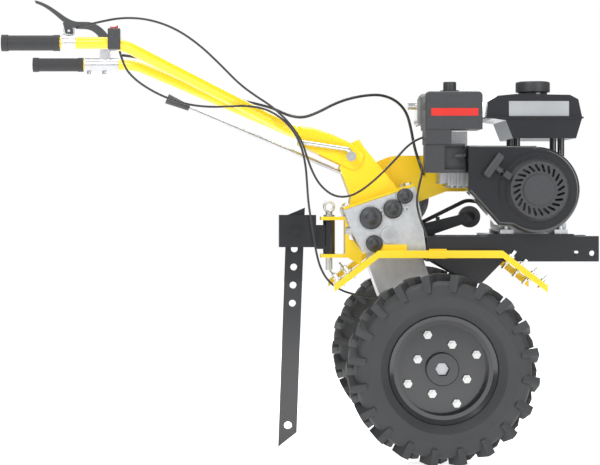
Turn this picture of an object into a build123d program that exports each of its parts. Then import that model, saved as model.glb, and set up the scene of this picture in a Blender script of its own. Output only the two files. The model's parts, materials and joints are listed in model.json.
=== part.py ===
"""Walk-behind two-wheel tractor with a petrol engine, belt clutch and drag bar.

Millimetres. +X is forward, +Z is up, -Y is the side of the recoil starter.
The origin lies on the ground under the middle of the machine.
"""
import os
from math import atan2, cos, degrees, pi, radians, sin, sqrt, tan

from build123d import *

os.makedirs("parts", exist_ok=True)

# ------------------------------------------------------------------ driving dimensions
# Wheels and axle
TYRE_OD = 414.0
TYRE_WIDTH = 100.0
TRACK = 560.0
AXLE_X = 288.0
RIM_R = 102.0
RIM_LIP_R = 119.0
RIM_WIDTH = 64.0
DISC_THICK = 3.0
HEX_AF = 28.0
HUB_R = 36.0
HUB_NUT_OUTER_R = 81.0
HUB_NUT_INNER_R = 57.6
LUG_COUNT = 20
LUG_HEIGHT = 15.0

# Frame rails
RAIL_BACK_X = 275.0
RAIL_FRONT_X = 668.0
RAIL_TOP_Z = 493.0
RAIL_HEIGHT = 58.0
RAIL_HALF_SPAN = 95.0
RAIL_FLANGE = 36.0
SHEET = 5.0
RAIL_BOLT_R = 6.0
RAIL_BOLT_PITCH = 36.0
RAIL_BOLT_FRONT_X = 652.0

# Gearbox
GEARBOX_HALF_W = 92.0
GEARBOX_WALL = 7.0
CASE_WALL_LOWER = 5.0
BOSS_R = 19.0
PLUG_R = 15.0
INPUT_X = 231.0
INPUT_Z = 580.0
SHAFT_R = 10.0
SEAT_SLOPE = 18.6

# Engine and belt drive
CRANK_X = 521.0
CRANK_Z = 598.0
CRANK_R = 12.5
ENGINE_HALF_W = 78.0
FAN_R = 98.0
FAN_FRONT_Y = -128.0
RECOIL_R = 71.0
DRIVEN_PULLEY_R = 72.0
ENGINE_PULLEY_R = 36.0
PULLEY_WIDTH = 16.0
BELT_Y = 128.0
BELT_THICK = 9.0
IDLER_X = 401.0
IDLER_Z = 536.0
IDLER_R = 26.0
ARM_PIVOT_X = 298.0
ARM_PIVOT_Z = 506.0
ARM_Y = 104.0
ARM_THICK = 6.0

# Handlebar
TUBE_R = 13.0
TUBE_WALL = 2.0
GRIP_R = 18.0
HANDLE_HALF_SPAN = 300.0
HANDLE_BACK_X = -668.0
HANDLE_Z = 915.0
BEND_X = -412.0
NECK_X = -34.0
NECK_Z = 738.3
NECK_HALF_SPAN = 30.0
PIVOT_X = 105.0
PIVOT_Z = 676.0
PIVOT_R = 6.0
HEAD_R = 24.0

# Drag bar and hitch
PIN_X = 57.0
BAR_WIDTH = 42.0
BAR_THICK = 14.0
BAR_TILT = 2.1
BAR_HOLE_R = 8.0
BAR_HOLE_PITCH = 42.3
BAR_TIP_HOLE_R = 9.3

# Clearances and seams
RUN = 0.05
GAP = 0.3
SEAM = 0.4


SIDES = {"left": 1, "right": -1}


def across(y):
    """The XZ plane at a given y: local x runs along X, local y along Z, the normal along -Y."""
    return Plane.XZ.offset(-y)


def pin_y(x, z, r, y_low, y_high, mode=Mode.ADD):
    """A round bar or hole along Y between two values of y."""
    with Locations((x, (y_low + y_high) / 2, z)):
        Cylinder(r, y_high - y_low, rotation=(90, 0, 0), mode=mode)


def ring_of(count, radius, start=0.0):
    """Points evenly spaced on a circle, from a start angle in degrees."""
    angles = [radians(start + 360 * i / count) for i in range(count)]
    return [(radius * cos(a), radius * sin(a)) for a in angles]


def save(piece, name):
    """Label a finished piece and write its file."""
    piece.part.label = name
    export_step(piece.part, f"parts/{name}.step")


# ------------------------------------------------------------------ wheels
AXLE_Z = TYRE_OD / 2
CARCASS_R = TYRE_OD / 2 - LUG_HEIGHT
TYRE_WALL = 9.0
LUG_ROOT = 22.0
LUG_Y = 26.0
LUG_SKEW = 24.0
LUG_LENGTH = 50.0
LUG_THICK = 17.0
SEAT_Y = RIM_WIDTH / 2 - 2 * DISC_THICK - 0.5
HUB_TUBE_R = 22.0
HUB_FLANGE_R = 92.0
HUB_FLANGE_THICK = 6.0
HUB_NOSE = 12.0
HUB_INNER_Y = 128.0
AXLE_END_Y = TRACK / 2 + 4
WHEEL_BOLT_R = 5.0
NUT_AF = 17.0
NUT_HEIGHT = 8.0
JOURNAL_R = 17.0
JOURNAL_HALF = 68.0
FINAL_SPROCKET_R = 42.0
SPROCKET_WIDTH = 6.0
CHAIN_Y = -12.0


def wheel_bolt_places():
    """Where the eight bolts of one wheel stand around its axle."""
    outer = ring_of(4, HUB_NUT_OUTER_R, 23)
    inner = ring_of(4, HUB_NUT_INNER_R, 68)
    return [(AXLE_X + x, AXLE_Z + z) for x, z in outer + inner]


with BuildPart() as axle_shaft:
    with BuildSketch(Plane.XZ):
        with Locations((AXLE_X, AXLE_Z)):
            RegularPolygon(HEX_AF / 2, 6, major_radius=False)
    extrude(amount=AXLE_END_Y, both=True)
    chamfer(axle_shaft.faces().filter_by(Axis.Y).edges(), 1.5)
    pin_y(AXLE_X, AXLE_Z, JOURNAL_R, -JOURNAL_HALF, JOURNAL_HALF)
    pin_y(AXLE_X, AXLE_Z, FINAL_SPROCKET_R, CHAIN_Y - SPROCKET_WIDTH / 2, CHAIN_Y + SPROCKET_WIDTH / 2)
    pin_y(AXLE_X, AXLE_Z, JOURNAL_R + 10, CHAIN_Y - 20, CHAIN_Y + 20)
save(axle_shaft, "axle_shaft")

hub_pair, rim_pair = [], []
for side, sign in SIDES.items():
    disc_y = sign * TRACK / 2
    flange_y = disc_y - sign * (DISC_THICK / 2 + HUB_FLANGE_THICK / 2)
    tube_length = abs(flange_y) - HUB_INNER_Y
    wheel_centre = (AXLE_X, disc_y, AXLE_Z)
    wheel_axis = Axis(wheel_centre, (0, 1, 0))
    wheel_plane = Plane(origin=wheel_centre, x_dir=(1, 0, 0), z_dir=(0, 0, -sign))

    with BuildPart() as hub:
        with Locations((AXLE_X, flange_y, AXLE_Z)):
            Cylinder(HUB_FLANGE_R, HUB_FLANGE_THICK, rotation=(90, 0, 0))
        with Locations((AXLE_X, sign * (HUB_INNER_Y + tube_length / 2), AXLE_Z)):
            Cylinder(HUB_TUBE_R, tube_length, rotation=(90, 0, 0))
        with Locations((AXLE_X, disc_y + sign * HUB_NOSE / 2, AXLE_Z)):
            Cylinder(HUB_R, HUB_NOSE + HUB_FLANGE_THICK, rotation=(90, 0, 0))
        with BuildSketch(Plane.XZ):
            with Locations((AXLE_X, AXLE_Z)):
                RegularPolygon(HEX_AF / 2 + RUN, 6, major_radius=False)
        extrude(amount=TRACK, both=True, mode=Mode.SUBTRACT)
        for x, z in wheel_bolt_places():
            pin_y(x, z, WHEEL_BOLT_R + RUN, flange_y - 10, flange_y + 10, Mode.SUBTRACT)
        nose_edges = hub.faces().sort_by(Axis.Y)[-1 if sign > 0 else 0].edges()
        chamfer(nose_edges.filter_by(GeomType.CIRCLE), 1.5)
    hub_pair.append(hub.part)

    half = RIM_WIDTH / 2
    with BuildPart() as rim:
        with BuildSketch(wheel_plane):
            with BuildLine():
                Polyline(
                    (HUB_R + GAP, -DISC_THICK / 2),
                    (HUB_R + GAP, DISC_THICK / 2),
                    (RIM_R - DISC_THICK, DISC_THICK / 2),
                    (RIM_R - DISC_THICK, half - DISC_THICK),
                    (RIM_R + 6, half - DISC_THICK),
                    (RIM_LIP_R - 2, half + 4),
                    (RIM_LIP_R, half + 2),
                    (RIM_R + 9, half - 2 * DISC_THICK),
                    (RIM_R, half - 2 * DISC_THICK),
                    (RIM_R, -half + 2 * DISC_THICK),
                    (RIM_R + 9, -half + 2 * DISC_THICK),
                    (RIM_LIP_R, -half - 2),
                    (RIM_LIP_R - 2, -half - 4),
                    (RIM_R + 6, -half + DISC_THICK),
                    (RIM_R - DISC_THICK, -half + DISC_THICK),
                    (RIM_R - DISC_THICK, -DISC_THICK / 2),
                    close=True,
                )
            make_face()
        revolve(axis=wheel_axis)
        for x, z in wheel_bolt_places():
            pin_y(x, z, WHEEL_BOLT_R + RUN, disc_y - 5, disc_y + 5, Mode.SUBTRACT)
    rim_pair.append(rim.part)

    lug_places = []
    for i in range(LUG_COUNT):
        for hand in (1, -1):
            turn = 360 * (i + (0.5 if hand < 0 else 0)) / LUG_COUNT
            out = Pos(CARCASS_R - LUG_ROOT / 2 + LUG_HEIGHT / 2, hand * LUG_Y, 0)
            lug_places.append(Pos(*wheel_centre) * Rot(0, turn, 0) * out * Rot(hand * LUG_SKEW, 0, 0))

    with BuildPart() as tyre:
        with BuildSketch(wheel_plane):
            with BuildLine():
                toe = Polyline((RIM_R + GAP, -SEAT_Y), (RIM_R + GAP, SEAT_Y), (RIM_R + 8, SEAT_Y))
                rise = Line(toe @ 1, (RIM_LIP_R + 4, SEAT_Y + 11))
                crown = Spline(
                    rise @ 1,
                    (CARCASS_R - 32, TYRE_WIDTH / 2),
                    (CARCASS_R - 9, TYRE_WIDTH / 2 - 8),
                    (CARCASS_R, 0),
                    (CARCASS_R - 9, -TYRE_WIDTH / 2 + 8),
                    (CARCASS_R - 32, -TYRE_WIDTH / 2),
                    (RIM_LIP_R + 4, -SEAT_Y - 11),
                    tangents=[(1, 1), (-1, 1)],
                )
                Polyline(crown @ 1, (RIM_R + 8, -SEAT_Y), toe @ 0)
            make_face()
        revolve(axis=wheel_axis)
        with Locations(lug_places):
            Box(LUG_HEIGHT + LUG_ROOT, LUG_LENGTH, LUG_THICK)
        pin_y(AXLE_X, AXLE_Z, TYRE_OD / 2, disc_y - TYRE_WIDTH / 2, disc_y + TYRE_WIDTH / 2, Mode.INTERSECT)
        with BuildSketch(wheel_plane):
            with BuildLine():
                cavity = Spline(
                    (RIM_R - 5, -SEAT_Y + 9),
                    (RIM_LIP_R + 5, -SEAT_Y),
                    (CARCASS_R - 32, -TYRE_WIDTH / 2 + TYRE_WALL),
                    (CARCASS_R - TYRE_WALL, 0),
                    (CARCASS_R - 32, TYRE_WIDTH / 2 - TYRE_WALL),
                    (RIM_LIP_R + 5, SEAT_Y),
                    (RIM_R - 5, SEAT_Y - 9),
                )
                Line(cavity @ 1, cavity @ 0)
            make_face()
        revolve(axis=wheel_axis, mode=Mode.SUBTRACT)
        for hand in (1, -1):
            with BuildSketch(wheel_plane):
                with BuildLine():
                    Polyline(
                        (RIM_R - 3, hand * (half - 2 * DISC_THICK - GAP)),
                        (RIM_R + 9, hand * (half - 2 * DISC_THICK - GAP)),
                        (RIM_LIP_R + 1, hand * (half + 1.5)),
                        (RIM_LIP_R + 1, hand * (half + 9)),
                        (RIM_R - 3, hand * (half + 9)),
                        close=True,
                    )
                make_face()
            revolve(axis=wheel_axis, mode=Mode.SUBTRACT)
    save(tyre, f"tyre_{side}")

with BuildPart() as hubs:
    add(hub_pair)
save(hubs, "hubs")

with BuildPart() as rims:
    add(rim_pair)
save(rims, "rims")

with BuildPart() as wheel_bolts:
    for sign in SIDES.values():
        outer_face = sign * (TRACK / 2 + DISC_THICK / 2)
        inner_face = sign * (TRACK / 2 - DISC_THICK / 2 - HUB_FLANGE_THICK)
        for x, z in wheel_bolt_places():
            for y, tall in ((outer_face, NUT_HEIGHT), (inner_face, -NUT_HEIGHT)):
                with BuildSketch(across(y)):
                    with Locations((x, z)):
                        RegularPolygon(NUT_AF / 2, 6, major_radius=False)
                extrude(amount=-sign * tall)
            low, high = sorted((inner_face - sign * 2, outer_face + sign * (NUT_HEIGHT + 4)))
            pin_y(x, z, WHEEL_BOLT_R, low, high)
save(wheel_bolts, "wheel_bolts")


# ------------------------------------------------------------------ rails
RAIL_MID_Z = RAIL_TOP_Z - RAIL_HEIGHT / 2
RAIL_LENGTH = RAIL_FRONT_X - RAIL_BACK_X
RAIL_MID_X = (RAIL_FRONT_X + RAIL_BACK_X) / 2
FOOT_X = (CRANK_X - 62, CRANK_X + 62)
FOOT_Y = RAIL_HALF_SPAN - RAIL_FLANGE / 2
FOOT_BOLT_R = 4.0
BASE_THICK = 5.0
RAIL_BOLTS_X = (RAIL_BOLT_FRONT_X, RAIL_BOLT_FRONT_X - RAIL_BOLT_PITCH)

with BuildPart() as rail_frame:
    for sign in SIDES.values():
        inner_y = sign * (RAIL_HALF_SPAN - SHEET / 2)
        with Locations((RAIL_MID_X, inner_y, RAIL_MID_Z)):
            Box(RAIL_LENGTH, SHEET, RAIL_HEIGHT)
        for z in (RAIL_TOP_Z - SHEET / 2, RAIL_TOP_Z - RAIL_HEIGHT + SHEET / 2):
            with Locations((RAIL_MID_X, sign * (RAIL_HALF_SPAN - RAIL_FLANGE / 2), z)):
                Box(RAIL_LENGTH, RAIL_FLANGE, SHEET)
    for x in (RAIL_BACK_X + SHEET / 2, RAIL_FRONT_X - 60):
        with Locations((x, 0, RAIL_MID_Z)):
            Box(SHEET, 2 * RAIL_HALF_SPAN - 2, RAIL_HEIGHT - 2)
    for x in RAIL_BOLTS_X:
        pin_y(x, RAIL_TOP_Z - 39, RAIL_BOLT_R, -RAIL_HALF_SPAN - 1, RAIL_HALF_SPAN + 1, Mode.SUBTRACT)
    with Locations((CRANK_X - 8, 0, RAIL_TOP_Z + BASE_THICK / 2)):
        Box(196, 2 * RAIL_HALF_SPAN, BASE_THICK)
    for x in FOOT_X:
        for sign in SIDES.values():
            with Locations((x, sign * FOOT_Y, RAIL_TOP_Z)):
                Cylinder(FOOT_BOLT_R + RUN, 4 * SHEET, mode=Mode.SUBTRACT)
    for sign in SIDES.values():
        y = sign * (RAIL_HALF_SPAN - 4)
        with BuildSketch(across(y + 3)):
            with BuildLine():
                Polyline((285, 441), (448, 441), (448, 434), (400, 385), (380, 385), (300, 430), close=True)
            make_face()
        extrude(amount=6)
    pin_y(ARM_PIVOT_X, ARM_PIVOT_Z, 7, RAIL_HALF_SPAN - 20, ARM_Y + 12)
    pin_y(ARM_PIVOT_X, ARM_PIVOT_Z, 12, ARM_Y + ARM_THICK / 2 + GAP, ARM_Y + 12)
    with Locations((ARM_PIVOT_X, RAIL_HALF_SPAN - 16, (ARM_PIVOT_Z + RAIL_TOP_Z) / 2 + 4)):
        Box(30, 8, ARM_PIVOT_Z - RAIL_TOP_Z + 8)
save(rail_frame, "rail_frame")



# ------------------------------------------------------------------ gearbox
CASE_TOP_BACK = (86.0, 552.0)
CASE_TOP_FRONT = (248.0, CASE_TOP_BACK[1] + (248.0 - CASE_TOP_BACK[0]) * tan(radians(SEAT_SLOPE)))
CASE_FRONT_BOTTOM = (RAIL_BACK_X - GAP, 456.0)
CASE_BACK_BOTTOM = (130.0, 456.0)
BOSS_PLACES = ((146.0, 535.0), (202.0, 552.5), (190.0, 495.0))
BOSS_FACE_Y = -98.0
LOWER_HALF_W = 52.0
LOWER_END_R = 60.0
INPUT_BOSS_R = 13.0
SLOT_HALF_W = 30.0
GEAR_MODULE = 2.0
GEAR_WIDTH = 16.0
FLANK = 78.0
INPUT_TEETH, LAY_TEETH, LAY_PINION_TEETH, OUT_TEETH = 16, 24, 18, 40
GEAR_Y = 40.0
PINION_Y = 18.0
SPROCKET_R = 21.0
CHAIN_THICK = 8.0


def heading(start, end):
    """The direction from one shaft to another in the side view, in degrees."""
    return degrees(atan2(end[1] - start[1], end[0] - start[0]))


def centre_at(start, angle, distance):
    """A shaft's place at a distance and a direction from another one."""
    return (start[0] + distance * cos(radians(angle)), start[1] + distance * sin(radians(angle)))


def gear(place, teeth, y, first_tooth):
    """A spur gear about a shaft along Y, its first tooth at an angle in the side view."""
    pitch_r = GEAR_MODULE * teeth / 2
    thick = 0.36 * pi * GEAR_MODULE + 2.8 * GEAR_MODULE * tan(radians(90 - FLANK))
    with BuildPart() as wheel:
        with BuildSketch(Plane(origin=(place[0], y, place[1]), x_dir=(1, 0, 0), z_dir=(0, -1, 0))):
            Circle(pitch_r - 1.2 * GEAR_MODULE)
            with PolarLocations(pitch_r - 0.25 * GEAR_MODULE, teeth, start_angle=first_tooth):
                Trapezoid(thick, 2.3 * GEAR_MODULE, FLANK, rotation=-90)
        extrude(amount=GEAR_WIDTH / 2, both=True)
    return wheel.part


INPUT_AT = (INPUT_X, INPUT_Z)
LAY_AT = centre_at(INPUT_AT, heading(INPUT_AT, BOSS_PLACES[1]), GEAR_MODULE * (INPUT_TEETH + LAY_TEETH) / 2)
OUT_AT = centre_at(LAY_AT, heading(LAY_AT, BOSS_PLACES[2]), GEAR_MODULE * (LAY_PINION_TEETH + OUT_TEETH) / 2)
AXLE_AT = (AXLE_X, AXLE_Z)

with BuildPart() as gearbox_case:
    with BuildSketch(Plane.XZ) as case_side:
        with BuildLine():
            Polyline(
                CASE_TOP_BACK,
                CASE_TOP_FRONT,
                (263.0, 545.0),
                CASE_FRONT_BOTTOM,
                CASE_BACK_BOTTOM,
                (104.0, 505.0),
                close=True,
            )
        make_face()
    extrude(amount=GEARBOX_HALF_W, both=True)
    with BuildSketch(Plane.XZ):
        add(case_side.sketch)
        offset(amount=-GEARBOX_WALL)
    extrude(amount=GEARBOX_HALF_W - GEARBOX_WALL, both=True, mode=Mode.SUBTRACT)
    with Locations((206, 0, CASE_BACK_BOTTOM[1])):
        Box(112, 2 * SLOT_HALF_W, 4 * GEARBOX_WALL, mode=Mode.SUBTRACT)
    for x, z in (BOSS_PLACES[0], LAY_AT, OUT_AT):
        pin_y(x, z, BOSS_R, BOSS_FACE_Y, -GEARBOX_HALF_W + 10)
        pin_y(x, z, BOSS_R, GEARBOX_HALF_W - 16, GEARBOX_HALF_W)
    pin_y(*INPUT_AT, INPUT_BOSS_R, BOSS_FACE_Y, -GEARBOX_HALF_W + 10)
    pin_y(*INPUT_AT, 20, GEARBOX_HALF_W - 16, GEARBOX_HALF_W + 6)
    for x, z in (BOSS_PLACES[0], LAY_AT, OUT_AT):
        pin_y(x, z, PLUG_R + RUN, BOSS_FACE_Y - 1, BOSS_FACE_Y + 4, Mode.SUBTRACT)
        pin_y(x, z, SHAFT_R + RUN, BOSS_FACE_Y + 4, GEARBOX_HALF_W - 6, Mode.SUBTRACT)
    pin_y(*INPUT_AT, SHAFT_R - 2 + RUN, BOSS_FACE_Y - 1, 0, Mode.SUBTRACT)
    pin_y(*INPUT_AT, SHAFT_R + RUN, 0, GEARBOX_HALF_W + 20, Mode.SUBTRACT)
    pin_y(*INPUT_AT, GEAR_MODULE * (INPUT_TEETH / 2 + 1) + 0.5, GEAR_Y - 10, GEAR_Y + 10, Mode.SUBTRACT)
    for x, z in ((172.5, 548), (229.5, 555)):
        pin_y(x, z, 7, -GEARBOX_HALF_W - 5, -GEARBOX_HALF_W + 4)
        pin_y(x, z, 3, -GEARBOX_HALF_W - 6, -GEARBOX_HALF_W, Mode.SUBTRACT)
    with Locations((112, -GEARBOX_HALF_W + 22, 505)):
        Cylinder(9, 40, rotation=(0, 90, 0))
save(gearbox_case, "gearbox_case")

with BuildPart() as lower_case:
    with BuildSketch(Plane.XZ) as drop_side:
        with Locations(AXLE_AT):
            Circle(LOWER_END_R)
        with BuildLine():
            Polyline((146, 425), (150, CASE_BACK_BOTTOM[1]), (RAIL_BACK_X - 9, CASE_BACK_BOTTOM[1]))
        make_hull(drop_side.edges() + drop_side.pending_edges)
    extrude(amount=LOWER_HALF_W, both=True)
    with BuildSketch(Plane.XZ):
        add(drop_side.sketch)
        offset(amount=-CASE_WALL_LOWER)
    extrude(amount=LOWER_HALF_W - CASE_WALL_LOWER, both=True, mode=Mode.SUBTRACT)
    with Locations((206, 0, CASE_BACK_BOTTOM[1])):
        Box(100, 2 * SLOT_HALF_W, 30, mode=Mode.SUBTRACT)
    pin_y(*AXLE_AT, 34, -LOWER_HALF_W - 12, LOWER_HALF_W + 12)
    pin_y(*AXLE_AT, LOWER_END_R - CASE_WALL_LOWER, -LOWER_HALF_W + 14, LOWER_HALF_W - 14, Mode.SUBTRACT)
    pin_y(*AXLE_AT, JOURNAL_R + RUN, -TRACK, TRACK, Mode.SUBTRACT)
save(lower_case, "lower_case")

with BuildPart() as input_shaft:
    pin_y(*INPUT_AT, SHAFT_R, -GEARBOX_HALF_W + 20, BELT_Y + 22)
    pin_y(*INPUT_AT, SHAFT_R - 2, BOSS_FACE_Y - 1, -GEARBOX_HALF_W + 20)
    add(gear(INPUT_AT, INPUT_TEETH, GEAR_Y, heading(INPUT_AT, LAY_AT)))
save(input_shaft, "input_shaft")

with BuildPart() as lay_shaft:
    pin_y(*LAY_AT, SHAFT_R, BOSS_FACE_Y + 5, GEARBOX_HALF_W - 7)
    add(gear(LAY_AT, LAY_TEETH, GEAR_Y, heading(LAY_AT, INPUT_AT) + 180 / LAY_TEETH))
    add(gear(LAY_AT, LAY_PINION_TEETH, PINION_Y, heading(LAY_AT, OUT_AT)))
save(lay_shaft, "lay_shaft")

with BuildPart() as output_shaft:
    pin_y(*OUT_AT, SHAFT_R, BOSS_FACE_Y + 5, GEARBOX_HALF_W - 7)
    add(gear(OUT_AT, OUT_TEETH, PINION_Y, heading(OUT_AT, LAY_AT) + 180 / OUT_TEETH))
save(output_shaft, "output_shaft")

with BuildPart() as chain_sprocket:
    pin_y(*OUT_AT, SPROCKET_R, CHAIN_Y - SPROCKET_WIDTH / 2, CHAIN_Y + SPROCKET_WIDTH / 2)
    pin_y(*OUT_AT, SHAFT_R + 5, CHAIN_Y - 14, CHAIN_Y + 14)
    pin_y(*OUT_AT, SHAFT_R + RUN, -50, 50, Mode.SUBTRACT)
save(chain_sprocket, "chain_sprocket")

with BuildPart() as drive_chain:
    with BuildSketch(across(CHAIN_Y)) as chain_side:
        with Locations(OUT_AT):
            Circle(SPROCKET_R + GAP + CHAIN_THICK)
        with Locations(AXLE_AT):
            Circle(FINAL_SPROCKET_R + GAP + CHAIN_THICK)
        make_hull(mode=Mode.REPLACE)
        offset(amount=-CHAIN_THICK, mode=Mode.SUBTRACT)
    extrude(amount=SPROCKET_WIDTH, both=True)
save(drive_chain, "drive_chain")


# ------------------------------------------------------------------ pedestal
PLATE = 3.0
FLANGE_THICK = 6.0
FLANGE_HALF_W = 80.0
PEDESTAL_HALF_W = 40.0
CHEEK_GAP = 0.5
ROD_ANGLE = 22.98
ROD_R = 5.0
ROD_START = (-286.0, 797.5)
ROD_END_X = 150.0
GUIDE_X = 130.0
GUIDE_R = 12.0
GUIDE_LENGTH = 26.0
SHIFT_GRIP_R = 12.0
SHIFT_GRIP_LENGTH = 56.0


def on_rod(x):
    """The height of the shift rod's axis at a given x."""
    return ROD_START[1] - (x - ROD_START[0]) * tan(radians(ROD_ANGLE))


def on_seat(x, lift=0.0):
    """The height of the gearbox's sloping seat at a given x."""
    return CASE_TOP_BACK[1] + (x - CASE_TOP_BACK[0]) * tan(radians(SEAT_SLOPE)) + lift


seat_up = FLANGE_THICK / cos(radians(SEAT_SLOPE))
with BuildPart() as pedestal:
    with BuildSketch(Plane.XZ) as column_side:
        with BuildLine():
            Polyline(
                (101, on_seat(101, 1)),
                (106, 582),
                (80, 650),
                (92, 700),
                (124, 716),
                (136, 698),
                (206, 612),
                (216, on_seat(216, 1)),
                close=True,
            )
        make_face()
    extrude(amount=PEDESTAL_HALF_W, both=True)
    with BuildSketch(Plane.XZ):
        add(column_side.sketch)
        offset(amount=-PLATE)
    extrude(amount=PEDESTAL_HALF_W - PLATE, both=True, mode=Mode.SUBTRACT)
    with BuildSketch(Plane.XZ):
        with BuildLine():
            Polyline(
                (CASE_TOP_BACK[0] + 1, on_seat(CASE_TOP_BACK[0] + 1, GAP)),
                (CASE_TOP_FRONT[0] - 1, on_seat(CASE_TOP_FRONT[0] - 1, GAP)),
                (CASE_TOP_FRONT[0] - 1, on_seat(CASE_TOP_FRONT[0] - 1, GAP + seat_up)),
                (CASE_TOP_BACK[0] + 1, on_seat(CASE_TOP_BACK[0] + 1, GAP + seat_up)),
                close=True,
            )
        make_face()
    extrude(amount=FLANGE_HALF_W, both=True)
    with Locations(Pos(80, 0, on_rod(80)) * Rot(0, 90 + ROD_ANGLE, 0)):
        Cylinder(ROD_R + 4, 60, mode=Mode.SUBTRACT)
    with BuildSketch(Plane.XZ):
        with BuildLine():
            Polyline((GUIDE_X - 8, on_seat(GUIDE_X, 5)), (GUIDE_X + 8, on_seat(GUIDE_X + 8, 5)),
                     (GUIDE_X + 8, on_rod(GUIDE_X)), (GUIDE_X - 8, on_rod(GUIDE_X)), close=True)
        make_face()
    extrude(amount=6, both=True)
    with Locations(Pos(GUIDE_X, 0, on_rod(GUIDE_X)) * Rot(0, 90 + ROD_ANGLE, 0)):
        Cylinder(GUIDE_R, GUIDE_LENGTH)
        Cylinder(ROD_R + RUN, GUIDE_LENGTH + 20, mode=Mode.SUBTRACT)
    pin_y(PIVOT_X, PIVOT_Z, PIVOT_R + RUN, -60, 60, Mode.SUBTRACT)
save(pedestal, "pedestal")

rod_length = (ROD_END_X - ROD_START[0]) / cos(radians(ROD_ANGLE))
rod_frame = Pos(ROD_START[0], 0, ROD_START[1]) * Rot(0, 90 + ROD_ANGLE, 0)
with BuildPart() as shift_rod:
    with Locations(rod_frame * Pos(0, 0, rod_length / 2)):
        Cylinder(ROD_R, rod_length)
save(shift_rod, "shift_rod")

with BuildPart() as shift_grip:
    with Locations(rod_frame * Pos(0, 0, 18 - SHIFT_GRIP_LENGTH / 2)):
        Cone(SHIFT_GRIP_R, SHIFT_GRIP_R - 5, SHIFT_GRIP_LENGTH)
    with Locations(rod_frame * Pos(0, 0, 20)):
        Cylinder(ROD_R + RUN, 41, mode=Mode.SUBTRACT)
save(shift_grip, "shift_grip")


# ------------------------------------------------------------------ handlebar
HEAD_HALF_W = 47.0
CHEEK_R = 29.0
NECK_SLOPE = 0.34
NECK_RUN = 80.0
GRIP_LENGTH = 126.0
GRIP_END = 8.0
COLLAR_LENGTH = 14.0
BAND_R = 18.0

with BuildPart() as handle_head:
    with BuildSketch(Plane.XZ):
        with BuildLine():
            top = Spline((-16, 748), (45, 736), (100, 712), (126, 697), tangents=[(1, -0.05), (0.8, -0.6)])
            Line(top @ 1, (131, 689))
            ThreePointArc((131, 689), (PIVOT_X + 22, PIVOT_Z - 18), (108, 646))
            Line((108, 646), (-16, 704))
            Line((-16, 704), (-16, 748))
        make_face()
    extrude(amount=HEAD_HALF_W, both=True)
    fillet(handle_head.edges().filter_by(Axis.X, reverse=True).filter_by_position(Axis.Z, 700, 760).filter_by(
        lambda e: abs(abs(e.center().Y) - HEAD_HALF_W) < 1 and e.length > 40), 14)
    with Locations((150, 0, 700)):
        Box(230, 2 * (PEDESTAL_HALF_W + CHEEK_GAP), 160, mode=Mode.SUBTRACT)
    with BuildSketch(Plane.XZ):
        with Locations((12, 719)):
            Rectangle(58, 22, rotation=-16)
    extrude(amount=16, both=True, mode=Mode.SUBTRACT)
    for sign in SIDES.values():
        with Locations(Plane(origin=(NECK_X, sign * NECK_HALF_SPAN, NECK_Z), z_dir=(1, 0, -NECK_SLOPE))):
            Cylinder(TUBE_R + RUN, NECK_RUN + 20, align=(Align.CENTER, Align.CENTER, Align.MIN), mode=Mode.SUBTRACT)
    pin_y(PIVOT_X, PIVOT_Z, PIVOT_R + RUN, -60, 60, Mode.SUBTRACT)
save(handle_head, "handle_head")


def handle_route(sign):
    """The centre line of one handle tube, from its grip to the head."""
    y = sign * HANDLE_HALF_SPAN
    neck_y = sign * NECK_HALF_SPAN
    with BuildLine() as route:
        FilletPolyline(
            (HANDLE_BACK_X + GRIP_END, y, HANDLE_Z),
            (BEND_X, y, HANDLE_Z),
            (NECK_X, neck_y, NECK_Z),
            (NECK_X + NECK_RUN, neck_y, NECK_Z - NECK_SLOPE * NECK_RUN),
            radius=[90, 40],
        )
    return route.line


for side, sign in SIDES.items():
    y = sign * HANDLE_HALF_SPAN
    centre_line = handle_route(sign)
    with BuildPart() as handle:
        with BuildSketch(Plane(origin=centre_line @ 0, z_dir=centre_line % 0)):
            Circle(TUBE_R)
            Circle(TUBE_R - TUBE_WALL, mode=Mode.SUBTRACT)
        sweep(path=centre_line)
    save(handle, f"handle_{side}")

with BuildPart() as grips:
    for y in (HANDLE_HALF_SPAN, -HANDLE_HALF_SPAN):
        for x, r, length in (
            (HANDLE_BACK_X + 7, GRIP_R, 14),
            (HANDLE_BACK_X + GRIP_LENGTH / 2, GRIP_R - 1.5, GRIP_LENGTH - 6),
            (HANDLE_BACK_X + GRIP_LENGTH - COLLAR_LENGTH / 2, GRIP_R - 0.5, COLLAR_LENGTH),
        ):
            with Locations((x, y, HANDLE_Z)):
                Cylinder(r, length, rotation=(0, 90, 0))
        with Locations((HANDLE_BACK_X + GRIP_END + GRIP_LENGTH / 2, y, HANDLE_Z)):
            Cylinder(TUBE_R + RUN, GRIP_LENGTH, rotation=(0, 90, 0), mode=Mode.SUBTRACT)
save(grips, "grips")


# ------------------------------------------------------------------ controls
LEVER_X, LEVER_Z = -488.0, 955.0
LEVER_HALF_W = 7.0
LEVER_PIN_R = 4.0
THROTTLE_X = -522.0
SWITCH_X = -424.0
TUBE_BAND_R = TUBE_R + 3.5
CLAMP_LEVER_Y = -60.0
CLAMP_ROD_R = 5.0

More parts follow.
